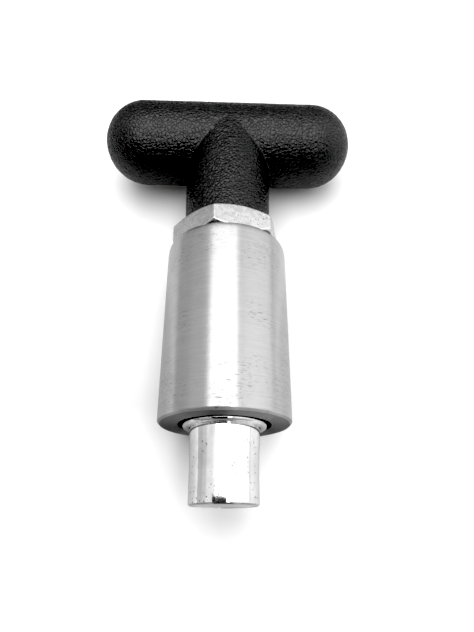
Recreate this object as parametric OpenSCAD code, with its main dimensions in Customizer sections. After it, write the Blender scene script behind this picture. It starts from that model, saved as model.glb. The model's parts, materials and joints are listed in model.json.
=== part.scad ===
// Spring-loaded T-handle pull pin in a plain turned barrel.
//
// The pin's axis is Y. The nose points towards -Y and the T-bar lies across
// the other end. The origin is on the axis, halfway along the barrel.
// Every piece is drawn standing on +Z, from the barrel's nose end at z = 0,
// and along_axis() lays it down into the part's frame.

/* [Barrel] */
// Outside diameter of the barrel
barrel_d = 25.4; // [24.5:0.1:30]
// Length of the barrel
barrel_len = 37.8; // [36:0.1:46]
// Chamfer round the nose end of the barrel
nose_end_chamfer = 0.5; // [0.2:0.1:1]
// Chamfer round the hexagon end of the barrel
hex_end_chamfer = 0.5; // [0.2:0.1:1]
// Diameter of the countersink where the thread opens at the nose end
countersink_d = 17.8; // [17.2:0.1:20]
// Length of the threaded stretch, from the nose end
thread_len = 24; // [16:1:28]

/* [Threaded body] */
// Thread diameter of the body
body_thread_d = 16; // [15.8:0.1:16.4]
// Thread pitch of the body
body_thread_pitch = 1; // [0.8:0.1:1.1]
// Width across the flats of the hexagon
hex_af = 21.4; // [20:0.1:22]
// Thickness of the hexagon
hex_h = 5.65; // [4:0.05:8]
// Turn of the hexagon about the axis at rest
hex_turn = -11.25; // [-30:0.25:30]
// Height of the washer face under the hexagon
washer_face_h = 0.1; // [0.05:0.05:0.6]
// How far the crowned end of the body stands out of the barrel
crown_h = 0.72; // [0.4:0.01:1]

/* [Plunger pin] */
// Diameter of the nose that enters the index hole
nose_d = 12.7; // [12:0.1:12.8]
// Length of the straight stretch of the nose
nose_straight = 6; // [4:0.5:8]
// How far the nose stands out of the barrel at rest
nose_out = 14.1; // [10:0.1:15]
// Chamfer on the tip of the nose
tip_chamfer = 0.3; // [0.2:0.1:1]
// Diameter of the shank that slides in the body
shank_d = 13.2; // [13:0.05:13.3]
// Length of the shank inside the barrel at rest
shank_in = 10; // [8:0.5:12]
// Diameter of the rod and of its thread
rod_d = 8; // [7.8:0.1:8.2]
// Thread pitch of the rod
rod_thread_pitch = 1.25; // [1:0.05:1.25]
// Pull from rest until the nose is inside the body
pull_travel = 14; // [10:0.5:14]

/* [Spring] */
// Wire diameter of the spring
wire_d = 1.2; // [1:0.1:1.25]
// Number of turns, with the closed turn at each end
spring_turns = 7; // [5:1:7]

/* [Handle] */
// Length of the T-bar over its round ends
bar_len = 60; // [50:1:90]
// Diameter of the T-bar
bar_d = 20; // [19.9:0.1:24]
// Height of the T-bar's axis above the hexagon
bar_height = 26.45; // [24:0.05:32]
// Diameter of the stem where it meets the hexagon
stem_foot_d = 19; // [16:0.1:19.5]
// Diameter of the stem at the T-bar's axis
stem_top_d = 19.8; // [19:0.1:19.8]
// Turn of the T-bar about the axis at rest
bar_turn = 2; // [-90:1:90]
// Outside diameter of the moulded-in insert
insert_d = 12; // [11:0.1:13]
// Length of the moulded-in insert
insert_len = 18; // [14:1:20]

/* [Hidden] */
$fn = 96;

// Clearances, as gaps on the radius or along the axis
running_gap = 0.05;      // shank in body, rod in its guide, washer on the rod
thread_gap = 0.05;       // between a thread and its mate
rest_gap = 0.15;         // handle above the hexagon
seat_gap = 0.05;         // washer from the shoulder, spring from its two seats

// Stations along the axis, from the barrel's nose end
seat_z = barrel_len + washer_face_h;            // under the hexagon
hex_top_z = seat_z + hex_h;                     // top face of the hexagon
guide_len = 8.7;                                // rod guide in the hexagon end
chamber_z = hex_top_z - guide_len;              // far end of the spring chamber
washer_t = 1;                                   // thickness of the washer
washer_z = shank_in + seat_gap;                 // washer on the shank's shoulder
spring_z0 = washer_z + washer_t + seat_gap;
spring_z1 = chamber_z - seat_gap;
grip_z = hex_top_z + rest_gap;                  // foot of the handle
bar_z = hex_top_z + bar_height;                 // axis of the T-bar
rod_end_z = grip_z + insert_len - 1;
rod_thread_z = grip_z + 1;

// Radii
barrel_r = barrel_d / 2;
body_r = body_thread_d / 2;
relief_r = body_r - 0.7 * body_thread_pitch;    // plain neck behind the body's thread
neck_bore_r = body_r + 0.2;                     // barrel's plain bore round that neck
bore_r = shank_d / 2 + running_gap;             // body's bore for shank and spring
rod_r = rod_d / 2;
guide_r = rod_r + running_gap;
spring_gap = 0.25;                              // spring from the chamber's wall
coil_r = bore_r - spring_gap - wire_d / 2;      // centre of the wire
hex_corner_r = hex_af / 2 / cos(30);
hex_face_r = hex_af / 2 - 0.15;                 // ring where the chamfer leaves the face
mouth = 0.4;                                    // small chamfer at each bore's mouth

// A 60 degree thread is drawn as rings of its true profile
thread_depth_ratio = 0.6134;
crest_ratio = 0.125;

// Lays a piece that stands on +Z along the part's own axis, +Y
module along_axis() {
    translate([0, -barrel_len / 2, 0]) rotate([-90, 0, 0]) children();
}

// Outline of thread rings between two stations, from root to root
function thread_rings(crest_r, pitch, from, to) =
    let (depth = thread_depth_ratio * pitch,
         flank = depth * tan(30),
         root_flat = pitch * (1 - crest_ratio) - 2 * flank,
         root_r = crest_r - depth,
         turns = floor((to - from) / pitch))
    [for (i = [0 : turns - 1])
        let (z = from + i * pitch)
        each [[root_r, z], [root_r, z + root_flat],
              [crest_r, z + root_flat + flank],
              [crest_r, z + pitch - flank]]];

// Crowned end of the body: a quarter of an ellipse from the thread to the bore
function crown(from_r, to_r, height, steps) =
    [for (i = [0 : steps])
        let (a = 90 * i / steps)
        [to_r + (from_r - to_r) * cos(a), -height * sin(a)]];

module barrel() {
    thread = thread_rings(body_r + thread_gap, body_thread_pitch, 1, thread_len);
    thread_root_r = body_r + thread_gap - thread_depth_ratio * body_thread_pitch;
    bore = concat(
        [[countersink_d / 2, 0]],
        thread,
        [[thread_root_r, thread_len], [neck_bore_r, thread_len + 1],
         [neck_bore_r, barrel_len]]);
    outside = [[barrel_r - hex_end_chamfer, barrel_len], [barrel_r, barrel_len - hex_end_chamfer],
               [barrel_r, nose_end_chamfer], [barrel_r - nose_end_chamfer, 0]];
    color("silver") along_axis() rotate_extrude() polygon(concat(bore, outside));
}

// Hexagon with the corners turned off at 30 degrees on both faces
module hexagon() {
    corner_drop = (hex_corner_r + 1 - hex_face_r) * tan(30);
    intersection() {
        rotate([0, 0, hex_turn - 90]) cylinder(r = hex_corner_r, h = hex_h, $fn = 6);
        rotate_extrude() polygon([
            [0, 0], [hex_face_r, 0], [hex_corner_r + 1, corner_drop],
            [hex_corner_r + 1, hex_h - corner_drop], [hex_face_r, hex_h], [0, hex_h]]);
    }
}

module threaded_body() {
    washer_face_r = hex_af / 2 - 0.4;
    thread = thread_rings(body_r, body_thread_pitch, 1, thread_len);
    thread_root_r = body_r - thread_depth_ratio * body_thread_pitch;
    crown_points = crown(body_r, bore_r, crown_h, 8);
    sleeve = concat(
        [for (i = [len(crown_points) - 1 : -1 : 0]) crown_points[i]],
        [[body_r, 0.2]],
        thread,
        [[thread_root_r, thread_len], [relief_r, thread_len + 0.5], [relief_r, barrel_len],
         [washer_face_r, barrel_len], [washer_face_r, seat_z + 0.5], [bore_r, seat_z + 0.5]]);
    color("gainsboro") along_axis() difference() {
        union() {
            rotate_extrude() polygon(sleeve);
            translate([0, 0, seat_z]) hexagon();
            translate([0, 0, chamber_z]) cylinder(r = relief_r, h = guide_len - 0.5);
        }
        translate([0, 0, -crown_h - 1]) cylinder(r = bore_r, h = chamber_z + crown_h + 1);
        translate([0, 0, chamber_z - 1]) cylinder(r = guide_r, h = guide_len + 2);
        translate([0, 0, hex_top_z - mouth])
            cylinder(r1 = guide_r, r2 = guide_r + 2 * mouth, h = 2 * mouth);
    }
}

module spring_washer() {
    color("darkgray") along_axis() translate([0, 0, washer_z]) difference() {
        cylinder(r = bore_r - running_gap, h = washer_t);
        translate([0, 0, -1]) cylinder(r = rod_r + running_gap, h = washer_t + 2);
    }
}

// Height of the wire's centre after a number of turns: closed, open, closed
function spring_height(turn) =
    let (low = spring_z0 + wire_d / 2,
         high = spring_z1 - wire_d / 2,
         closed = wire_d * 1.02,
         open = (high - low - 2 * closed) / (spring_turns - 2))
    turn < 1 ? low + closed * turn
    : turn > spring_turns - 1 ? high - closed * (spring_turns - turn)
    : low + closed + open * (turn - 1);

module compression_spring() {
    steps = 24;
    sides = 8;
    rings = spring_turns * steps;
    points = [for (i = [0 : rings], k = [0 : sides - 1])
        let (a = 360 * i / steps,
             b = 360 * k / sides,
             r = coil_r + wire_d / 2 * cos(b))
        [r * cos(a), r * sin(a), spring_height(i / steps) + wire_d / 2 * sin(b)]];
    walls = [for (i = [0 : rings - 1], k = [0 : sides - 1])
        let (next = (k + 1) % sides)
        [i * sides + k, (i + 1) * sides + k, (i + 1) * sides + next, i * sides + next]];
    start = [for (k = [0 : sides - 1]) k];
    finish = [for (k = [sides - 1 : -1 : 0]) rings * sides + k];
    color("lightsteelblue") along_axis()
        polyhedron(points = points, faces = concat(walls, [start, finish]), convexity = 10);
}

// Nose, shank, shoulder, rod and thread turned from one bar
module plunger_pin() {
    nose_r = nose_d / 2;
    shank_r = shank_d / 2;
    taper_end = -crown_h;
    thread = thread_rings(rod_r, rod_thread_pitch, rod_thread_z, rod_end_z - 1);
    thread_root_r = rod_r - thread_depth_ratio * rod_thread_pitch;
    color("whitesmoke") along_axis() rotate_extrude() polygon(concat(
        [[0, -nose_out], [nose_r - tip_chamfer, -nose_out],
         [nose_r, -nose_out + tip_chamfer],
         [nose_r, -nose_out + tip_chamfer + nose_straight],
         [shank_r, taper_end],
         [shank_r, shank_in - mouth], [shank_r - mouth, shank_in],
         [rod_r, shank_in], [rod_r, rod_thread_z - 0.5]],
        thread,
        [[thread_root_r, rod_end_z - 1], [thread_root_r, rod_end_z - 0.5],
         [thread_root_r - 0.5, rod_end_z], [0, rod_end_z]]));
}

// Outside of the insert: a sleeve with one groove that keys it into the grip
insert_outline = let (r = insert_d / 2, groove = 0.8, middle = grip_z + insert_len / 2) [
    [0, grip_z], [r, grip_z], [r, middle - 2], [r - groove, middle - 1.2],
    [r - groove, middle + 1.2], [r, middle + 2], [r, grip_z + insert_len], [0, grip_z + insert_len]];

module handle_insert() {
    thread = thread_rings(rod_r + thread_gap, rod_thread_pitch, rod_thread_z, rod_end_z - 1);
    thread_root_r = rod_r + thread_gap - thread_depth_ratio * rod_thread_pitch;
    color("goldenrod") along_axis() difference() {
        rotate_extrude() polygon(insert_outline);
        rotate_extrude() polygon(concat(
            [[0, grip_z - 1], [rod_r + thread_gap + 0.2, grip_z - 1],
             [rod_r + thread_gap + 0.2, rod_thread_z - 0.5]],
            thread,
            [[thread_root_r, rod_end_z - 1], [thread_root_r, rod_end_z + 0.4], [0, rod_end_z + 0.4]]));
    }
}

// T-bar with round ends on a slightly drafted stem, moulded round the insert
module handle_grip() {
    bar_r = bar_d / 2;
    half_span = bar_len / 2 - bar_r;
    color([0.09, 0.09, 0.095]) along_axis() rotate([0, 0, bar_turn]) difference() {
        union() {
            translate([-half_span, 0, bar_z]) rotate([0, 90, 0]) cylinder(r = bar_r, h = 2 * half_span);
            for (side = [-1, 1]) translate([side * half_span, 0, bar_z]) sphere(r = bar_r);
            translate([0, 0, grip_z]) cylinder(d1 = stem_foot_d, d2 = stem_top_d, h = bar_z - grip_z);
        }
        rotate_extrude() polygon(concat([[0, grip_z - 1], [insert_d / 2, grip_z - 1]],
            [for (i = [1 : len(insert_outline) - 1]) insert_outline[i]]));
    }
}

barrel();
threaded_body();
compression_spring();
spring_washer();
plunger_pin();
handle_insert();
handle_grip();
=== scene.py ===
"""Looks of a spring-loaded T-handle pull pin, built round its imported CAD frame.

Lengths in the geometry code are millimetres in the row frame: the axis is +Y, from the nose to the
handle, and +Z is up. Meshes are scaled to metres when they are made. Noise scales in materials are
per metre, and the table's material and the lights are laid out in metres.
"""

import json
import math

import bpy
import numpy as np
from mathutils import Matrix, Vector, noise


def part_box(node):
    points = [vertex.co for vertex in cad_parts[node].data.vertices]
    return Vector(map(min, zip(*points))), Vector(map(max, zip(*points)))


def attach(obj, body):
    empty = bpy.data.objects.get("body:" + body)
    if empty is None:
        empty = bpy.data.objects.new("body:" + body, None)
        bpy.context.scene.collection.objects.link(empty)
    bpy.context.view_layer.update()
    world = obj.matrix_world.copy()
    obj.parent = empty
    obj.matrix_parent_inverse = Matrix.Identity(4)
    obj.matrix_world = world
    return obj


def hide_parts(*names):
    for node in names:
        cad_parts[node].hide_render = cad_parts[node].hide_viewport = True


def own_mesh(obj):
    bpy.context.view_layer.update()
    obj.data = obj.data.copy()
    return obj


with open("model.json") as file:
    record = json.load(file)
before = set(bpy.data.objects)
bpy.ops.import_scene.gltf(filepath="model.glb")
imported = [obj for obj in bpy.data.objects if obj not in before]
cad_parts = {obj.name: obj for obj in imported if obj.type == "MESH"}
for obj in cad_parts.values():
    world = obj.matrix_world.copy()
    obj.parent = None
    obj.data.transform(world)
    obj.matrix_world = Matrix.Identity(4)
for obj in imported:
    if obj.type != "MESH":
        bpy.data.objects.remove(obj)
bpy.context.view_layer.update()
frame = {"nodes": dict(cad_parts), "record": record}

MM = 0.001
TAU = 2 * math.pi

# ---------------------------------------------------------------- sizes from the frame


def y_range(node):
    """Lowest and highest Y of a CAD node, in millimetres."""
    low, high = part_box(node)
    return low.y / MM, high.y / MM


MOUNTS = {m["name"]: m for m in frame["record"]["mounts"]}
BARREL_R = MOUNTS["barrel_outside"]["dims"]["r_mm"]
NOSE_R = MOUNTS["nose"]["dims"]["r_mm"]
NOSE_STRAIGHT = MOUNTS["nose"]["dims"]["length_mm"]
NOSE_END, HEX_END = y_range("barrel")
CROWN_END, HEX_TOP = y_range("threaded_body")
TIP, ROD_END = y_range("plunger_pin")
WASHER_END = y_range("spring_washer")[1]
INSERT_END = y_range("handle_insert")[1]
GRIP_FOOT, GRIP_TOP = y_range("handle_grip")

# Sizes that the frame doesn't state, as the CAD part has them
BARREL_CHAMFER = 0.5
COUNTERSINK_R = 8.9
BODY_R = 8.0
BODY_PITCH = 1.0
BORE_R = 6.65
GUIDE_R = 4.05
CHAMBER_END = HEX_TOP - 8.7
NECK_R = 7.3
THREAD_END = NOSE_END + 24.0
HEX_FLAT_R = 10.7
HEX_FACE_R = 10.55
HEX_SEAT = HEX_TOP - 5.65
HEX_TURN = math.radians(-11.25)
SHANK_R = 6.6
SHOULDER = NOSE_END + 10.0
ROD_R = 4.0
ROD_PITCH = 1.25
ROD_THREAD_START = GRIP_FOOT + 1.0
WIRE_R = 0.6
SPRING_TURNS = 7
BAR_R = 10.0
BAR_HALF_SPAN = 20.0
BAR_TURN = math.radians(2)
BAR_AXIS = GRIP_TOP - BAR_R
STEM_FOOT_R = 9.5
INSERT_R = 6.0

# Sizes of the visual meshes alone
RING_COLUMNS = 192
THREAD_DEPTH = 0.6134  # as a part of the pitch
CROWN_EDGE_R = 0.8
STEM_TOP_R = 10.0
GRAIN_DEPTH = 0.12
GRAIN_SIZE = 0.68
GRAIN_SEED = 1  # noise.noise_vector starts from the clock unless it is seeded
HANDLE_VOXEL = 0.25
ON_HEXAGON = -1.0  # stands for the radius of a row that follows the hexagon

# ---------------------------------------------------------------- mesh helpers


def new_piece(name, points_mm, faces, material, body, node):
    """A smooth mesh piece that rides on a body and stands for a CAD node."""
    mesh = bpy.data.meshes.new(name)
    mesh.from_pydata((np.asarray(points_mm) * MM).tolist(), [], faces)
    mesh.validate()
    mesh.shade_smooth()
    mesh.materials.append(material)
    piece = bpy.data.objects.new(name, mesh)
    bpy.context.scene.collection.objects.link(piece)
    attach(piece, body)
    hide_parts(node)
    return piece


def filleted(corners, steps=5):
    """Outline points (r, y) from corners (r, y, fillet), each corner rounded by a short curve.

    A support point on each side of the curve keeps the shading of the long faces flat.
    """
    most_of_side = 0.45
    support = 1.08
    points = []
    count = len(corners)
    for i, (r, y, fillet) in enumerate(corners):
        here = np.array([r, y])
        if fillet <= 0:
            points.append((r, y))
            continue
        before = np.array(corners[i - 1][:2]) - here
        after = np.array(corners[(i + 1) % count][:2]) - here
        length_before, length_after = np.linalg.norm(before), np.linalg.norm(after)
        reach = min(fillet, most_of_side * length_before, most_of_side * length_after)
        before = before / length_before * reach
        after = after / length_after * reach
        points.append(tuple(here + before * support))
        for step in range(steps + 1):
            t = step / steps
            points.append(tuple(here + before * (1 - t) ** 2 + after * t**2))
        points.append(tuple(here + after * support))
    return points


def lathe(name, rows, material, body, node, angles=None, radius_at=None):
    """A closed piece turned about the Y axis from rows (r, y).

    A row with r = 0 is a pole. radius_at(r, y, angles) can return each column's own radius.
    """
    if angles is None:
        angles = np.arange(RING_COLUMNS) * TAU / RING_COLUMNS
    columns = len(angles)
    points, row_start = [], []
    for r, y in rows:
        row_start.append(len(points))
        if r == 0:
            points.append((0.0, y, 0.0))
            continue
        radii = np.full(columns, r) if radius_at is None else radius_at(r, y, angles)
        ring = zip(radii * np.sin(angles), np.full(columns, y), radii * np.cos(angles))
        points.extend(ring)
    faces = []
    open_ended = rows[0][0] == 0
    row_count = len(rows)
    for i in range(row_count - 1 if open_ended else row_count):
        following = (i + 1) % row_count
        a, b = row_start[i], row_start[following]
        for k in range(columns):
            n = (k + 1) % columns
            if rows[i][0] == 0:
                faces.append((a, b + n, b + k))
            elif rows[following][0] == 0:
                faces.append((a + k, a + n, b))
            else:
                faces.append((a + k, a + n, b + n, b + k))
    new_piece(name, points, faces, material, body, node)


def thread_rows(r, start, end, pitch, per_turn=10):
    """Rows on a cylinder, close enough together to carry a thread."""
    count = round((end - start) / pitch * per_turn)
    return [(r, start + (end - start) * i / count) for i in range(count + 1)]


def thread_cut(y, angles, start, end, pitch):
    """Depth of a 60 degree helical thread below its crest, fading out at both ends."""
    depth = THREAD_DEPTH * pitch
    phase = (y / pitch - angles / TAU) % 1.0
    half_crest = 0.5 / 8
    flank = depth * math.tan(math.radians(30)) / pitch
    from_crest = np.abs(phase - 0.5)
    height = np.clip((half_crest + flank - from_crest) / flank, 0, 1)
    fade = min(1.0, (y - start) / pitch, (end - y) / pitch)
    return depth * (1 - height) * max(0.0, fade)


def threaded(thread_r, start, end, pitch):
    """A radius_at for lathe, which cuts a thread into the rows at thread_r from start to end."""

    def radius_at(r, y, angles):
        radii = np.full(len(angles), float(r))
        if r == thread_r and start < y < end:
            radii -= thread_cut(y, angles, start, end, pitch)
        return radii

    return radius_at


# ---------------------------------------------------------------- material helpers


def node_maker(tree):
    """A function that adds a node to the tree and links or sets its inputs."""

    def make(kind, inputs=None, **settings):
        made = tree.nodes.new("ShaderNode" + kind)
        for key, value in settings.items():
            setattr(made, key, value)
        for key, value in (inputs or {}).items():
            if isinstance(value, bpy.types.NodeSocket):
                tree.links.new(value, made.inputs[key])
            else:
                made.inputs[key].default_value = value
        return made

    return make


def new_material(name):
    """(material, maker of its nodes, function that feeds its shader, the shader's inputs)."""
    material = bpy.data.materials.new(name)
    material.use_nodes = True
    tree = material.node_tree
    shader = next(n for n in tree.nodes if n.type == "BSDF_PRINCIPLED")

    def feed(key, socket):
        tree.links.new(socket, shader.inputs[key])

    return material, node_maker(tree), feed, shader.inputs


def grey(value):
    return (value, value, value, 1.0)


def ramp(make, factor, stops):
    """A colour ramp from stops (position, grey value), or (position, colour)."""
    made = make("ValToRGB", {"Fac": factor})
    elements = made.color_ramp.elements
    while len(elements) < len(stops):
        elements.new(0.5)
    for element, (position, value) in zip(elements, stops):
        element.position = position
        element.color = (*value, 1.0) if isinstance(value, tuple) else grey(value)
    return made.outputs["Color"]


def object_place(make):
    return make("TexCoord").outputs["Object"]


def split_xyz(make, vector):
    """The X, Y and Z sockets of a vector socket."""
    split = make("SeparateXYZ", {0: vector})
    return (split.outputs[axis] for axis in "XYZ")


def math_node(make, operation, *values):
    return make("Math", dict(enumerate(values)), operation=operation).outputs[0]


def length_of(make, vector):
    return make("VectorMath", {0: vector}, operation="LENGTH").outputs["Value"]


def from_axis(make):
    """Distance from the part's Y axis."""
    x, _, z = split_xyz(make, object_place(make))
    return length_of(make, make("CombineXYZ", {"X": x, "Z": z}).outputs[0])


def lathe_coordinates(make, along, across):
    """Coordinates in which noise makes thin rings round the axis, on side and end faces alike.

    across is how often the noise changes per metre round the axis, and along is how often it
    changes along the axis or outwards on an end face.
    """
    x, y, z = split_xyz(make, object_place(make))
    depth = math_node(make, "SUBTRACT", y, from_axis(make))
    fast = math_node(make, "MULTIPLY", depth, along)
    slow_x = math_node(make, "MULTIPLY", x, across)
    slow_z = math_node(make, "MULTIPLY", z, across)
    return make("CombineXYZ", {"X": slow_x, "Y": fast, "Z": slow_z}).outputs[0]


def noise_at(make, coordinates, scale, detail=2.0, roughness=0.5):
    inputs = {"Vector": coordinates, "Scale": scale, "Detail": detail, "Roughness": roughness}
    return make("TexNoise", inputs).outputs["Fac"]


def blend_sum(make, *parts):
    """Sum of (socket, weight) pairs."""
    total = 0.0
    for socket, weight in parts:
        total = math_node(make, "MULTIPLY_ADD", socket, weight, total)
    return total


def multiplied(make, a, b):
    """The product of two colours."""
    inputs = {"Factor": 1.0, "A": a, "B": b}
    return make("Mix", inputs, data_type="RGBA", blend_type="MULTIPLY").outputs["Result"]


def darkened(make, tone, marks, amount):
    """A colour made darker where marks is 1, or lighter if amount is negative."""
    return multiplied(make, tone, math_node(make, "MULTIPLY_ADD", marks, -amount, 1.0))


def axial_facing(make):
    """How squarely the surface faces along the axis, from 0 on the side to 1 on an end."""
    _, y, _ = split_xyz(make, make("TexCoord").outputs["Normal"])
    return math_node(make, "ABSOLUTE", y)


def add_bump(make, feed, strength, depth_mm, height):
    bump = make("Bump", {"Strength": strength, "Distance": depth_mm * MM, "Height": height})
    feed("Normal", bump.outputs[0])


# ---------------------------------------------------------------- materials


def turned_metal(name, tone, roughness):
    """Lathe-turned metal: fine tool rings, streaks, a mottled sheen and short dark tool marks.

    The end faces are duller than the side, and from the countersink inwards the colour is darkened as
    painted shade in the bore.
    """
    material, make, feed, inputs = new_material(name)
    inputs["Metallic"].default_value = 1.0
    inputs["Anisotropic"].default_value = 0.92
    inputs["Anisotropic Rotation"].default_value = 0.25
    feed("Tangent", make("Tangent", direction_type="RADIAL", axis="Y").outputs[0])
    place = object_place(make)

    rings = noise_at(make, lathe_coordinates(make, 6000, 200), 1.0, 3.0, 0.6)
    streaks = noise_at(make, lathe_coordinates(make, 2000, 120), 1.0, 2.0)
    mottle = noise_at(make, place, 420, 3.0, 0.6)
    dashes = ramp(make, noise_at(make, lathe_coordinates(make, 6500, 1000), 1.0, 1.0),
                  [(0.62, 0.0), (0.68, 1.0)])
    worn_zone = ramp(make, noise_at(make, place, 110, 1.0), [(0.50, 0.0), (0.60, 1.0)])
    marks = math_node(make, "MULTIPLY", dashes, worn_zone)
    end_face = ramp(make, axial_facing(make), [(0.55, 0.0), (0.9, 1.0)])
    # Painted shade: from the countersink inwards the colour is darkened, in the bore
    painted_bore_shade = math_node(make, "LESS_THAN", from_axis(make), (COUNTERSINK_R - 0.03) * MM)

    texture = blend_sum(make, (rings, 0.4), (streaks, 0.3), (mottle, 0.3))
    metal = ramp(make, texture, [(0.36, tone * 0.88), (0.64, tone * 1.12)])
    marked = darkened(make, metal, marks, 0.45)
    faced = darkened(make, marked, end_face, 0.5)
    feed("Base Color", darkened(make, faced, painted_bore_shade, 0.85))

    sheen = blend_sum(make, (streaks, 0.5), (mottle, 0.5))
    gloss = ramp(make, sheen, [(0.3, roughness * 0.85), (0.7, roughness * 1.2)])
    feed("Roughness", math_node(make, "MULTIPLY_ADD", end_face, 0.3, gloss))
    height = blend_sum(make, (rings, 1.0), (streaks, 0.7), (mottle, 0.25), (marks, -1.0))
    add_bump(make, feed, 0.5, 0.02, height)
    return material


def plated_metal(name, tone, roughness, cloud_scale, cloud_depth, pit_scale, polish_end=None,
                 chamfer_darkening=0.0):
    """Bright plating over steel: faint clouds and waves, rub marks, and scattered pits.

    Before the station polish_end, in millimetres along Y, the plating is smoother. The last argument
    makes the colour darker on the chamfers, which face between the side and the ends.
    """
    material, make, feed, inputs = new_material(name)
    inputs["Metallic"].default_value = 1.0
    place = object_place(make)

    rub = noise_at(make, lathe_coordinates(make, 2600, 160), 1.0, 3.0, 0.6)
    cloud = noise_at(make, place, cloud_scale, 3.0, 0.65)
    cells = make("TexVoronoi", {"Vector": place, "Scale": pit_scale}, feature="F1")
    dots = ramp(make, cells.outputs["Distance"], [(0.10, 1.0), (0.26, 0.0)])
    specks = ramp(make, noise_at(make, place, 4200, 1.0), [(0.70, 0.0), (0.76, 1.0)])
    pitted_zone = ramp(make, noise_at(make, place, 230, 2.0), [(0.46, 0.0), (0.53, 1.0)])
    pits = math_node(make, "MULTIPLY", math_node(make, "MAXIMUM", dots, specks), pitted_zone)
    # Darker colour on the chamfers, between the side and the ends
    chamfer = ramp(make, axial_facing(make),
                   [(0.2, 0.0), (0.4, chamfer_darkening), (0.85, chamfer_darkening), (0.97, 0.0)])

    plate = ramp(make, cloud, [(0.34, tone * 0.9), (0.66, min(1.0, tone * 1.1))])
    feed("Base Color", darkened(make, darkened(make, plate, pits, 0.7), chamfer, 1.0))

    sheen = blend_sum(make, (rub, 0.5), (cloud, 0.5))
    gloss = ramp(make, sheen, [(0.3, roughness * 0.75), (0.7, roughness * 1.4)])
    height = blend_sum(make, (cloud, 1.0), (rub, 0.25), (pits, -0.8))
    if polish_end is not None:
        _, y, _ = split_xyz(make, place)
        polished = math_node(make, "LESS_THAN", y, polish_end * MM)
        gloss = darkened(make, gloss, polished, 0.65)
        flattened = math_node(make, "MULTIPLY_ADD", polished, -0.8, 1.0)
        height = math_node(make, "MULTIPLY", height, flattened)
    feed("Roughness", gloss)
    add_bump(make, feed, 0.5, cloud_depth, height)
    return material


def plain_metal(name, colour, roughness):
    """Drawn, rolled or turned metal with a faint mottle, for the pieces inside."""
    material, make, feed, inputs = new_material(name)
    inputs["Metallic"].default_value = 1.0
    cloud = noise_at(make, object_place(make), 350, 4.0, 0.6)
    dull_colour = tuple(0.8 * c for c in colour)
    feed("Base Color", ramp(make, cloud, [(0.3, dull_colour), (0.7, colour)]))
    feed("Roughness", ramp(make, cloud, [(0.3, roughness * 0.8), (0.7, roughness * 1.3)]))
    add_bump(make, feed, 0.3, 0.01, cloud)
    return material


def grained_plastic(name):
    """Black moulded plastic: the mesh has the big wrinkles, this adds fine creases and a sheen."""
    material, make, feed, inputs = new_material(name)
    inputs["Specular IOR Level"].default_value = 0.47
    place = object_place(make)
    swirl = make("TexNoise", {"Vector": place, "Scale": 700.0, "Detail": 1.0}).outputs["Color"]
    swirl_reach = (0.5 * MM,) * 3
    warped = make("VectorMath", {0: swirl, 1: swirl_reach, 2: place}, operation="MULTIPLY_ADD")
    edges = make("TexVoronoi", {"Vector": warped.outputs[0], "Scale": 1250.0},
                 feature="DISTANCE_TO_EDGE")
    pebble = ramp(make, edges.outputs["Distance"], [(0.0, 0.0), (0.12, 0.6), (0.3, 1.0)])
    fine = noise_at(make, place, 2600, 3.0, 0.6)
    cloud = noise_at(make, place, 120, 3.0, 0.6)
    feed("Base Color", ramp(make, cloud, [(0.3, 0.009), (0.7, 0.012)]))
    feed("Roughness", ramp(make, fine, [(0.3, 0.18), (0.7, 0.28)]))
    add_bump(make, feed, 0.75, 0.1, blend_sum(make, (pebble, 1.0), (fine, 0.5)))
    return material


turned_aluminium = turned_metal("turned_aluminium", tone=0.53, roughness=0.34)
bright_zinc = plated_metal("bright_zinc", tone=0.62, roughness=0.24, cloud_scale=900,
                           cloud_depth=0.03, pit_scale=1500, polish_end=NOSE_END + 1.0)
bright_steel = plated_metal("bright_steel", tone=0.90, roughness=0.05, cloud_scale=260,
                            cloud_depth=0.0012, pit_scale=1250, chamfer_darkening=0.6)
spring_steel = plain_metal("spring_steel", (0.42, 0.42, 0.44), roughness=0.34)
washer_steel = plain_metal("plain_steel", (0.55, 0.55, 0.56), roughness=0.38)
insert_brass = plain_metal("insert_brass", (0.78, 0.60, 0.30), roughness=0.30)
black_plastic = grained_plastic("black_plastic")

# ---------------------------------------------------------------- barrel and threaded body


def make_barrel():
    thread_r = BODY_R + 0.05
    neck_r = BODY_R + 0.2
    start = NOSE_END + 0.9
    outside = filleted([
        (COUNTERSINK_R, NOSE_END, 0.06),
        (BARREL_R - BARREL_CHAMFER, NOSE_END, 0.12),
        (BARREL_R, NOSE_END + BARREL_CHAMFER, 0.15),
        (BARREL_R, HEX_END - 2.2, 0),
        (BARREL_R - 0.03, HEX_END - 1.4, 0),
        (BARREL_R - 0.12, HEX_END - 0.7, 0.2),
        (BARREL_R - BARREL_CHAMFER, HEX_END, 0.25),
        (neck_r, HEX_END, 0.1),
    ])
    neck = [(neck_r, THREAD_END + 1.0)]
    thread = list(reversed(thread_rows(thread_r, start, THREAD_END, BODY_PITCH)))
    lathe("turned_barrel", outside + neck + thread, turned_aluminium, "housing",
          "barrel",
          radius_at=threaded(thread_r, start, THREAD_END, BODY_PITCH))


def hexagon_radius(y, angles):
    """Radius of the hexagon at height y, with softened corners and 30 degree turned-off edges."""
    corner_sharpness = 110
    edge_sharpness = 150
    total = np.zeros(len(angles))
    for side in range(6):
        facing = np.cos(angles - HEX_TURN - math.radians(30 + 60 * side))
        total += np.maximum(facing, 1e-3) ** corner_sharpness
    flats = HEX_FLAT_R / total ** (1 / corner_sharpness)
    depth = min(HEX_TOP - y, y - HEX_SEAT)
    cone = HEX_FACE_R + depth / math.tan(math.radians(30))
    return (flats**-edge_sharpness + cone**-edge_sharpness) ** (-1 / edge_sharpness)


def hexagon_angles(per_side=40):
    """Columns round the hexagon, packed close together at its corners."""
    t = np.arange(per_side) / per_side
    bunched = t - 0.9 * np.sin(TAU * t) / TAU
    sides = [(side + bunched) * TAU / 6 for side in range(6)]
    return np.concatenate(sides) + HEX_TURN


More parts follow.
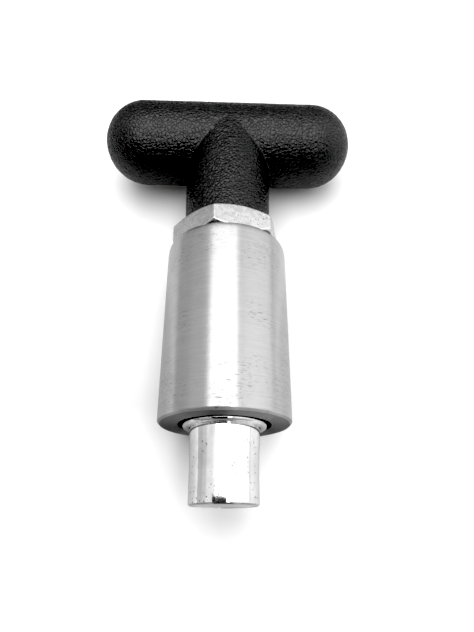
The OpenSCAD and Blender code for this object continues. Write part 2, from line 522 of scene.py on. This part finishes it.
def crown_rows(steps=16):
    """The body's rounded end, from just inside the bore out to the thread."""
    rows = [
        (BORE_R, CROWN_END + 0.25),
        (BORE_R + 0.05, CROWN_END + 0.12),
        (BORE_R + 0.2, CROWN_END + 0.02),
    ]
    for i in range(steps + 1):
        a = math.pi / 2 * i / steps
        inward = CROWN_EDGE_R * (1 - math.sin(a))
        rows.append((BODY_R - inward, CROWN_END + CROWN_EDGE_R * (1 - math.cos(a))))
    return rows


def hexagon_rows():
    """Rows up the hexagon's side, close together at both of its turned-off edges."""
    edge_depth = 1.35
    levels = np.linspace(0.02, 1, 16) ** 1.3 * edge_depth
    rows = [(ON_HEXAGON, HEX_SEAT + depth) for depth in levels]
    return rows + [(ON_HEXAGON, HEX_TOP - depth) for depth in reversed(levels)]


def make_threaded_body():
    start = NOSE_END + 0.2
    washer_face_r = HEX_FLAT_R - 0.4
    hex_rim_r = HEX_FACE_R - 0.06
    guide_chamfer = 0.4
    rows = crown_rows() + thread_rows(BODY_R, start, THREAD_END, BODY_PITCH)
    rows += filleted([
        (NECK_R, THREAD_END + 0.6, 0.1),
        (NECK_R, HEX_END, 0.05),
        (washer_face_r, HEX_END, 0.05),
        (washer_face_r, HEX_SEAT, 0.05),
        (hex_rim_r, HEX_SEAT, 0),
    ])
    rows += hexagon_rows()
    rows += filleted([
        (hex_rim_r, HEX_TOP, 0),
        (GUIDE_R + guide_chamfer, HEX_TOP, 0.08),
        (GUIDE_R, HEX_TOP - guide_chamfer, 0.08),
        (GUIDE_R, CHAMBER_END, 0.1),
        (BORE_R, CHAMBER_END, 0.2),
        (BORE_R, CROWN_END + 0.6, 0),
    ])
    round_radius = threaded(BODY_R, start, THREAD_END, BODY_PITCH)

    def radius_at(r, y, angles):
        return hexagon_radius(y, angles) if r == ON_HEXAGON else round_radius(r, y, angles)

    lathe("hexagon_body", rows, bright_zinc, "housing", "threaded_body",
          angles=hexagon_angles(), radius_at=radius_at)


# ---------------------------------------------------------------- pin and spring


def make_pin():
    tip_chamfer = 0.3
    shoulder_chamfer = 0.4
    start, end = ROD_THREAD_START, ROD_END - 1.0
    # Two rings on the tip's face keep its shading flat
    face = [(0, TIP), (2.0, TIP), (4.0, TIP)]
    shank = filleted([
        (NOSE_R - tip_chamfer, TIP, 0.1),
        (NOSE_R, TIP + tip_chamfer, 0.06),
        (NOSE_R, TIP + tip_chamfer + NOSE_STRAIGHT, 2.0),
        (SHANK_R, CROWN_END, 1.0),
        (SHANK_R, SHOULDER - shoulder_chamfer, 0.1),
        (SHANK_R - shoulder_chamfer, SHOULDER, 0.1),
        (ROD_R, SHOULDER, 0.1),
    ])
    rod = [(ROD_R, HEX_TOP - 6.0)] + thread_rows(ROD_R, start, end, ROD_PITCH, per_turn=8)
    tail = [(ROD_R - 0.8, end + 0.3), (ROD_R - 1.3, ROD_END), (0, ROD_END)]
    lathe("bright_pin", face + shank + rod + tail, bright_steel, "plunger",
          "plunger_pin", radius_at=threaded(ROD_R, start, end, ROD_PITCH))


def make_spring():
    """A wound spring with a closed turn at each end. The real one shortens as the pin is pulled; this
    mesh keeps one length.
    """
    end_gap = 0.05
    side_gap = 0.25
    closed_turn = 2 * WIRE_R * 1.02
    steps, sides = 56, 14
    low = WASHER_END + end_gap + WIRE_R
    high = CHAMBER_END - end_gap - WIRE_R
    coil_r = BORE_R - side_gap - WIRE_R
    count = SPRING_TURNS * steps
    turn = np.arange(count + 1) / steps
    height = np.interp(turn, [0, 1, SPRING_TURNS - 1, SPRING_TURNS],
                       [low, low + closed_turn, high - closed_turn, high])
    points = []
    for i in range(count + 1):
        a = TAU * turn[i]
        for k in range(sides):
            b = TAU * k / sides
            r = coil_r + WIRE_R * math.cos(b)
            points.append((r * math.cos(a), height[i] + WIRE_R * math.sin(b), -r * math.sin(a)))
    faces = []
    for i in range(count):
        a, b = i * sides, (i + 1) * sides
        for k in range(sides):
            n = (k + 1) % sides
            faces.append((a + k, a + n, b + n, b + k))
    faces.append(tuple(reversed(range(sides))))
    faces.append(tuple(range(count * sides, (count + 1) * sides)))
    spring = new_piece("wound_spring", points, faces, spring_steel, "housing",
                       "compression_spring")
    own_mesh(spring)


# ---------------------------------------------------------------- handle


def smooth_min(a, b, blend):
    h = np.maximum(blend - np.abs(a - b), 0) / blend
    return np.minimum(a, b) - h * h * blend / 4


def handle_distance(p):
    """Signed distance, in millimetres, to the T-handle with its insert's pocket. p is (n, 3)."""
    foot_round = 0.5
    seam_round = 0.06
    x, y, z = p[:, 0], p[:, 1], p[:, 2]
    c, s = math.cos(BAR_TURN), math.sin(BAR_TURN)
    along, up = c * x - s * z, s * x + c * z
    beyond = along - np.clip(along, -BAR_HALF_SPAN, BAR_HALF_SPAN)
    bar = np.sqrt(beyond**2 + (y - BAR_AXIS) ** 2 + up**2) - BAR_R
    radial = np.sqrt(x**2 + z**2)
    climb = np.clip((y - GRIP_FOOT) / (BAR_AXIS - GRIP_FOOT), 0, 1)
    side = radial - STEM_FOOT_R - (STEM_TOP_R - STEM_FOOT_R) * np.sin(climb * math.pi / 2)
    stem = -smooth_min(-side, y - GRIP_FOOT, foot_round)
    stem = np.maximum(stem, y - BAR_AXIS)
    solid = smooth_min(bar, stem, seam_round)
    pocket = np.maximum(radial - INSERT_R, y - INSERT_END)
    return np.maximum(solid, -pocket)


def handle_slope(p, step=0.01):
    """Outward direction of handle_distance at each point."""
    slope = np.empty_like(p)
    for axis in range(3):
        ahead, behind = p.copy(), p.copy()
        ahead[:, axis] += step
        behind[:, axis] -= step
        slope[:, axis] = handle_distance(ahead) - handle_distance(behind)
    return slope / np.maximum(np.linalg.norm(slope, axis=1, keepdims=True), 1e-9)


def leather_grain(p):
    """Height of the moulded leather grain at a point, from 0 in a crease to 1 on a pebble."""
    here = Vector(p)
    warped = here + noise.noise_vector(here * 1.1) * 0.35
    distances, _ = noise.voronoi(warped / GRAIN_SIZE)
    crease = min(1.0, (distances[1] - distances[0]) / 0.45)
    return crease * (2 - crease) * (0.85 + 0.3 * noise.noise(here * 0.6))


def rough_solid(name, rows, place, direction, columns=96):
    """A plain closed solid turned from rows (r, station) along a direction. For booleans only."""
    direction = Vector(direction).normalized()
    side = direction.orthogonal().normalized()
    other = direction.cross(side)
    points, faces = [], []
    for r, station in rows:
        middle = Vector(place) + direction * station
        for k in range(columns):
            a = TAU * k / columns
            point = middle + (side * math.cos(a) + other * math.sin(a)) * r
            points.append(tuple(point * MM))
    for i in range(len(rows) - 1):
        a, b = i * columns, (i + 1) * columns
        for k in range(columns):
            n = (k + 1) % columns
            faces.append((a + k, a + n, b + n, b + k))
    faces.append(tuple(reversed(range(columns))))
    faces.append(tuple(range((len(rows) - 1) * columns, len(rows) * columns)))
    mesh = bpy.data.meshes.new(name)
    mesh.from_pydata(points, [], faces)
    solid = bpy.data.objects.new(name, mesh)
    bpy.context.scene.collection.objects.link(solid)
    return solid


def rough_handle():
    """Mesh of even quads over the T-handle: bar and stem joined, less the insert's pocket."""
    dome = [math.radians(d) for d in range(2, 91, 8)]
    left = [(BAR_R * math.sin(a), -BAR_HALF_SPAN - BAR_R * math.cos(a)) for a in dome]
    profile = left + [(r, -station) for r, station in reversed(left)]
    stem_rows = [(STEM_FOOT_R, 0), (STEM_TOP_R, BAR_AXIS - GRIP_FOOT)]
    pocket_rows = [(INSERT_R, -2), (INSERT_R, INSERT_END - GRIP_FOOT)]
    across = (math.cos(BAR_TURN), 0, -math.sin(BAR_TURN))
    upwards = (0, 1, 0)
    foot = (0, GRIP_FOOT, 0)
    bar = rough_solid("rough_bar", profile, (0, BAR_AXIS, 0), across)
    stem = rough_solid("rough_stem", stem_rows, foot, upwards)
    pocket = rough_solid("rough_pocket", pocket_rows, foot, upwards)
    for operation, other in (("UNION", stem), ("DIFFERENCE", pocket)):
        join = bar.modifiers.new(operation, "BOOLEAN")
        join.operation = operation
        join.object = other
    remesh = bar.modifiers.new("remesh", "REMESH")
    remesh.mode = "VOXEL"
    remesh.voxel_size = HANDLE_VOXEL * MM
    evaluated = bar.evaluated_get(bpy.context.evaluated_depsgraph_get())
    mesh = bpy.data.meshes.new_from_object(evaluated)
    for solid in (bar, stem, pocket):
        bpy.data.objects.remove(solid)
    return mesh


def make_handle():
    """The T-handle: even quads pulled onto the true surface, then sunk into a leather grain."""
    mesh = rough_handle()
    p = np.empty(len(mesh.vertices) * 3)
    mesh.vertices.foreach_get("co", p)
    p = p.reshape(-1, 3) / MM
    quads = [tuple(f.vertices) for f in mesh.polygons]
    pulls = 6
    for _ in range(pulls):
        p -= handle_slope(p) * handle_distance(p)[:, None]
    out = handle_slope(p)
    # No grain on the foot's face or in the pocket, where the handle meets other pieces
    foot_margin, foot_fade = 0.3, 0.5
    pocket_margin = 0.5
    radial = np.hypot(p[:, 0], p[:, 2])
    above_foot = np.clip((p[:, 1] - GRIP_FOOT - foot_margin) / foot_fade, 0, 1)
    off_pocket = np.maximum(np.clip(radial - INSERT_R - pocket_margin, 0, 1),
                            p[:, 1] > INSERT_END + 1)
    noise.seed_set(GRAIN_SEED)
    grain = np.array([leather_grain(q) for q in p])
    sunk = np.minimum(grain - 1.0, 0.0)
    p += out * (GRAIN_DEPTH * above_foot * off_pocket * sunk)[:, None]
    new_piece("grained_handle", p, quads, black_plastic, "plunger", "handle_grip")


make_barrel()
make_threaded_body()
make_pin()
make_spring()
make_handle()
for node_name, metal in (("spring_washer", washer_steel), ("handle_insert", insert_brass)):
    frame["nodes"][node_name].material_slots[0].material = metal

# ---------------------------------------------------------------- floor, light and camera

FLOOR_Z = -BARREL_R * MM
FLOOR_HALF = 1.5
LIGHT_HEIGHT = 0.50
BLACK_LEVEL = 0.04
WHITE_LEVEL = 0.92

# Brightness of the surroundings from the far left (0) to the far right (1)
WORLD_ACROSS = [
    (0.0, 0.51), (0.02, 0.47), (0.03, 0.56), (0.07, 0.60), (0.085, 0.72), (0.10, 0.80), (0.205, 0.83),
    (0.22, 0.95), (0.6, 1.0), (0.78, 1.60), (0.90, 1.54), (0.96, 1.34), (1.0, 1.08),
]
# The same from in front of the nose (0) to behind the handle (1). The two are multiplied.
WORLD_ALONG = [
    (0.0, 0.2), (0.2, 0.35), (0.4, 0.78), (0.62, 0.83), (0.70, 1.02), (0.75, 1.10), (0.775, 0.97),
    (0.80, 0.45), (0.88, 0.25), (1.0, 0.2),
]


def table_material():
    """A white table, which the metal mirrors darker than the camera sees it, with painted light and
    shade.
    """
    material, make, feed, inputs = new_material("white_table")
    inputs["Specular IOR Level"].default_value = 0.0
    inputs["Roughness"].default_value = 0.9
    inputs["Emission Color"].default_value = grey(1.0)
    place = object_place(make)
    x, y, _ = split_xyz(make, place)
    forward = math_node(make, "MULTIPLY", y, -1.0)

    # The phone shades the table round the nose, where painted light lifts the colour so that it stays
    # white
    cloud = noise_at(make, place, 30, 3.0)
    painted_lift = ramp(make, forward, [(0.012, 0.0), (0.022, 1.0)])
    shown = darkened(make, ramp(make, cloud, [(0.3, 0.75), (0.7, 0.77)]), painted_lift, -0.27)

    # Painted reflection: as the metal mirrors it, the table is painted duller on the left and far
    # behind, and lighter at the tip and the handle
    to_right = math_node(make, "MULTIPLY_ADD", x, 10.0, 0.5)
    behind = ramp(make, y, [(0.06, 0.0), (0.15, 1.0)])
    past_tip = ramp(make, forward, [(0.0325, 0.0), (0.0345, 1.0)])
    by_handle = ramp(make, y, [(0.014, 0.0), (0.022, 1.0), (0.028, 1.0), (0.036, 0.3)])
    painted_mirror_tone = ramp(make, to_right, [(0.35, 0.46), (0.65, 0.52)])
    for where, amount in ((behind, 0.45), (past_tip, -0.4), (by_handle, -0.25)):
        painted_mirror_tone = darkened(make, painted_mirror_tone, where, amount)

    rays = make("LightPath")
    white = make("Mix", {"Factor": rays.outputs["Is Glossy Ray"], "A": shown, "B": painted_mirror_tone},
                 data_type="RGBA")
    feed("Base Color", white.outputs["Result"])

    # Away from the part, and in front of the nose where the phone shades it, the table glows with
    # painted light for the camera, which sees plain white as far as the horizon
    far = ramp(make, length_of(make, place), [(0.15, 0.0), (0.4, 1.0)])
    before_nose = ramp(make, forward, [(0.045, 0.0), (0.075, 1.0)])
    plain = math_node(make, "MAXIMUM", far, before_nose)
    feed("Emission Strength", math_node(make, "MULTIPLY", plain, rays.outputs["Is Camera Ray"]))
    return material


def stage_sheet(name, corners, material):
    """A flat sheet of the stage from its four corners, in metres."""
    mesh = bpy.data.meshes.new(name)
    mesh.from_pydata(corners, [], [(0, 1, 2, 3)])
    mesh.materials.append(material)
    sheet = bpy.data.objects.new(name, mesh)
    bpy.context.scene.collection.objects.link(sheet)
    return sheet


def make_floor():
    signs = [(-1, -1), (1, -1), (1, 1), (-1, 1)]
    corners = [(FLOOR_HALF * x, FLOOR_HALF * y, FLOOR_Z) for x, y in signs]
    stage_sheet("floor", corners, table_material())


def make_phone():
    """The dark phone that took the picture. It shades the table and shows in reflections.

    Its far edge is a little askew, as its reflection in the nose is.
    """
    left, right, near, high = -62, 16, NOSE_END - 150, 90.5
    far_left, far_right = NOSE_END - 5.2, NOSE_END - 6.8
    outline = [(left, near), (right, near), (right, far_right), (left, far_left)]
    corners = [(x * MM, y * MM, high * MM) for x, y in outline]
    material, make, feed, _ = new_material("phone_black")
    cloud = noise_at(make, object_place(make), 20, 1.0)
    feed("Base Color", ramp(make, cloud, [(0.0, 0.01), (1.0, 0.02)]))
    phone = stage_sheet("phone", corners, material)
    for rays in ("camera", "transmission", "volume_scatter"):
        setattr(phone, "visible_" + rays, False)


def overhead_light(name, x, y, size_x, size_y, power):
    """A rectangular soft light above (x, y), facing down and unseen by the camera."""
    light = bpy.data.lights.new(name, "AREA")
    light.shape = "RECTANGLE"
    light.size, light.size_y = size_x, size_y
    light.energy = power
    lamp = bpy.data.objects.new(name, light)
    lamp.location = (x, y, LIGHT_HEIGHT)
    lamp.rotation_mode = "QUATERNION"
    lamp.rotation_quaternion = Vector((0, 0, -1)).to_track_quat("-Z", "Y")
    bpy.context.scene.collection.objects.link(lamp)
    lamp.visible_camera = False
    return lamp


def make_world():
    """A white room for the camera. As a light it is brightest on the right and dim at both ends."""
    world = bpy.data.worlds.new("studio")
    bpy.context.scene.world = world
    world.use_nodes = True
    make = node_maker(world.node_tree)
    background = next(n for n in world.node_tree.nodes if n.type == "BACKGROUND")
    output = next(n for n in world.node_tree.nodes if n.type == "OUTPUT_WORLD")
    x, y, _ = split_xyz(make, make("TexCoord").outputs["Generated"])
    across = ramp(make, math_node(make, "MULTIPLY_ADD", x, 0.5, 0.5), WORLD_ACROSS)
    along = ramp(make, math_node(make, "MULTIPLY_ADD", y, 0.5, 0.5), WORLD_ALONG)
    world.node_tree.links.new(multiplied(make, across, along), background.inputs["Color"])
    background.inputs["Strength"].default_value = 1.2
    white = make("Background", {"Color": grey(1.0)})
    seen = make("LightPath").outputs["Is Camera Ray"]
    mix = make("MixShader", {0: seen, 1: background.outputs[0], 2: white.outputs[0]})
    world.node_tree.links.new(mix.outputs[0], output.inputs["Surface"])


def make_camera():
    """A phone's camera about 90 mm above the nose, as close as the photograph was taken."""
    elevation, turn, roll = (math.radians(d) for d in (64.92, 0.22, -0.12))
    camera_data = bpy.data.cameras.new("camera")
    camera_data.sensor_width = 36.0
    camera_data.lens = 27.04
    camera_data.clip_start = 0.001
    camera = bpy.data.objects.new("camera", camera_data)
    back = Matrix.Rotation(turn, 3, "Z") @ Vector((0, -math.cos(elevation), math.sin(elevation)))
    look = (-back).to_track_quat("-Z", "Y")
    camera.rotation_mode = "QUATERNION"
    camera.rotation_quaternion = look @ Matrix.Rotation(roll, 3, "Z").to_quaternion()
    camera.location = Vector((2.43, NOSE_END - 19.12, 89.72)) * MM
    bpy.context.scene.collection.objects.link(camera)
    bpy.context.scene.camera = camera


def set_levels():
    """Pull the black and white points in a little, for the photograph's strong contrast."""
    view = bpy.context.scene.view_settings
    view.view_transform = "Standard"
    view.use_curve_mapping = True
    view.curve_mapping.black_level = (BLACK_LEVEL,) * 3
    view.curve_mapping.white_level = (WHITE_LEVEL,) * 3
    view.curve_mapping.update()


make_floor()
make_world()
make_camera()
make_phone()
overhead_light("overhead", x=-0.033, y=-0.035, size_x=0.435, size_y=0.76, power=2.5)
soft_key = overhead_light("soft_key", x=-0.02, y=0.0, size_x=0.45, size_y=0.60, power=2.1)
soft_key.visible_glossy = False
set_levels()
